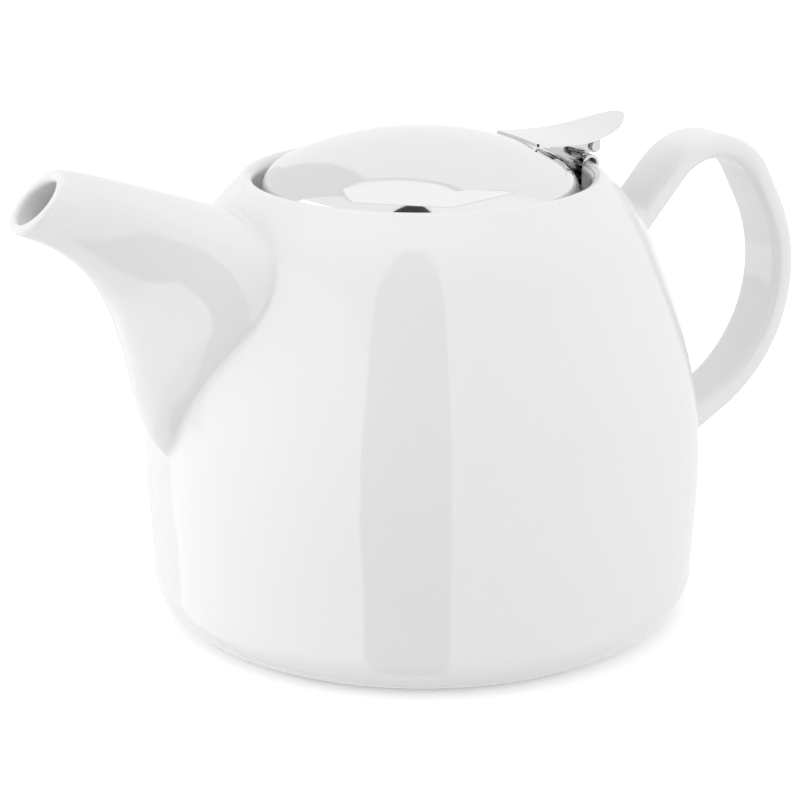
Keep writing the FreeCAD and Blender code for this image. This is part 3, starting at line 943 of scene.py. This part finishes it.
@dataclass
class RimHinge:
    """The spring clip on the rim and the pin in it, which turns with the lid."""

    clip_edge: float = 0.12 * MM
    pin_edge: float = 0.2 * MM

    def build(self, tumbled: bpy.types.Material) -> None:
        """Make the clip and the pin.

        Args:
            tumbled: Their finish.
        """
        pieces = (
            ("rim_clip", self.clip_edge, Body.POT),
            ("hinge_pin", self.pin_edge, Body.LID),
        )
        for node, width, body in pieces:
            shape = merged_copy(node)
            round_edges(shape, width)
            finished(shape, node, tumbled, body)


@dataclass
class Infuser:
    """The lift-out basket: a plain rim, a pierced wall and a pierced base."""

    sheet: float = 0.5 * MM
    wall_low_r: float = 34.0 * MM
    wall_top_r: float = 36.4 * MM
    wall_low: float = 34.0 * MM
    wall_top: float = 95.0 * MM
    wall_columns: int = 84
    wall_rows: int = 23
    plain_low: float = 3.0 * MM
    plain_top: float = 9.0 * MM
    web: float = 0.65 * MM
    hole_corner: float = 0.33 * MM
    base_low: float = 31.0 * MM
    floor_cells: int = 29
    floor_r: float = 33.3 * MM
    pierced_r: float = 31.0 * MM
    floor_sides: int = 48
    flange_r: float = 30.5 * MM
    pan_round: float = 0.8 * MM
    pan_steps: int = 96

    def build(self, satin: bpy.types.Material) -> None:
        """Finish the rim, and make the wall and the base.

        Args:
            satin: The basket's finish.
        """
        dress("infuser_rim", satin)
        finished(self._wall(), "infuser_wall", satin, Body.POT)
        finished(self._base(), "infuser_base", satin, Body.POT)

    def _wall(self) -> bmesh.types.BMesh:
        """Make the tapered wall, pierced between two plain bands.

        Returns:
            The wall.
        """
        shape = bmesh.new()
        middle = Matrix.Translation((0.0, 0.0, (self.wall_low + self.wall_top) / 2))
        bmesh.ops.create_cone(
            shape, cap_ends=False, segments=self.wall_columns, radius1=self.wall_low_r,
            radius2=self.wall_top_r, depth=self.wall_top - self.wall_low, matrix=middle,
        )
        upright = []
        for edge in shape.edges:
            foot, head = edge.verts
            if abs(foot.co.z - head.co.z) > WELD:
                upright.append(edge)
        bmesh.ops.subdivide_edges(shape, edges=upright, cuts=self.wall_rows, use_grid_fill=True)
        bmesh.ops.recalc_face_normals(shape, faces=shape.faces)
        low, top = self.wall_low + self.plain_low, self.wall_top - self.plain_top
        cells = [face for face in shape.faces if low < face.calc_center_median().z < top]
        pierce(shape, cells, self.web, self.hole_corner)
        bmesh.ops.solidify(shape, geom=shape.faces, thickness=self.sheet)
        return shape

    def _base(self) -> bmesh.types.BMesh:
        """Make the shallow pan with a pierced floor lying on its flange.

        Returns:
            The base.
        """
        shape = bmesh.new()
        # The top of the floor is two sheets up, the flange's and its own
        lift = Matrix.Translation((0.0, 0.0, self.base_low + 2 * self.sheet))
        bmesh.ops.create_grid(
            shape, x_segments=self.floor_cells, y_segments=self.floor_cells, size=self.floor_r,
            matrix=lift,
        )
        cells = [
            face for face in shape.faces if face.calc_center_median().xy.length < self.pierced_r
        ]
        pierce(shape, cells, self.web, self.hole_corner)
        for side in range(self.floor_sides):
            turn = 2 * math.pi * side / self.floor_sides
            away = Vector((math.cos(turn), math.sin(turn), 0.0))
            bmesh.ops.bisect_plane(
                shape, geom=shape.verts[:] + shape.edges[:] + shape.faces[:], dist=WELD,
                plane_co=away * self.floor_r, plane_no=away, clear_outer=True,
            )
        bmesh.ops.solidify(shape, geom=shape.faces, thickness=self.sheet)
        self._add_pan(shape)
        return shape

    def _add_pan(self, shape: bmesh.types.BMesh) -> None:
        """Spin the pan's ring round the floor.

        Args:
            shape: The base, which gains the ring.
        """
        outer, low, top = self.wall_low_r, self.base_low, self.wall_low
        inner = outer - self.sheet
        section = (
            (self.flange_r, low),
            (outer - self.pan_round, low),
            (outer, low + self.pan_round),
            (outer, top),
            (inner, top),
            (inner, low + self.pan_round),
            (inner - self.pan_round + self.sheet, low + self.sheet),
            (self.flange_r, low + self.sheet),
        )
        verts = [shape.verts.new((across, 0.0, height)) for across, height in section]
        edges = [shape.edges.new((verts[i], verts[i - 1])) for i in range(len(verts))]
        bmesh.ops.spin(
            shape, geom=verts + edges, cent=(0.0, 0.0, 0.0), axis=(0.0, 0.0, 1.0),
            dvec=(0.0, 0.0, 0.0), angle=2 * math.pi, steps=self.pan_steps, use_merge=True,
            use_duplicate=False,
        )
        bmesh.ops.remove_doubles(shape, verts=shape.verts, dist=WELD)
        ring = [
            face for face in shape.faces if face.calc_center_median().xy.length > self.flange_r
        ]
        bmesh.ops.recalc_face_normals(shape, faces=ring)


def main() -> None:
    """Build every sub-assembly in order."""
    logging.basicConfig(level=logging.INFO)
    Studio().build()
    effects = SharedEffects()
    glaze = PorcelainFinish().make(effects)
    polished = POLISHED.make(effects)
    tumbled = TUMBLED.make(effects)
    satin = SATIN.make(effects)
    PorcelainPot().dress(glaze)
    HingedLid().build(polished, tumbled)
    RimHinge().build(tumbled)
    Infuser().build(satin)


if __name__ == "__main__":
    main()
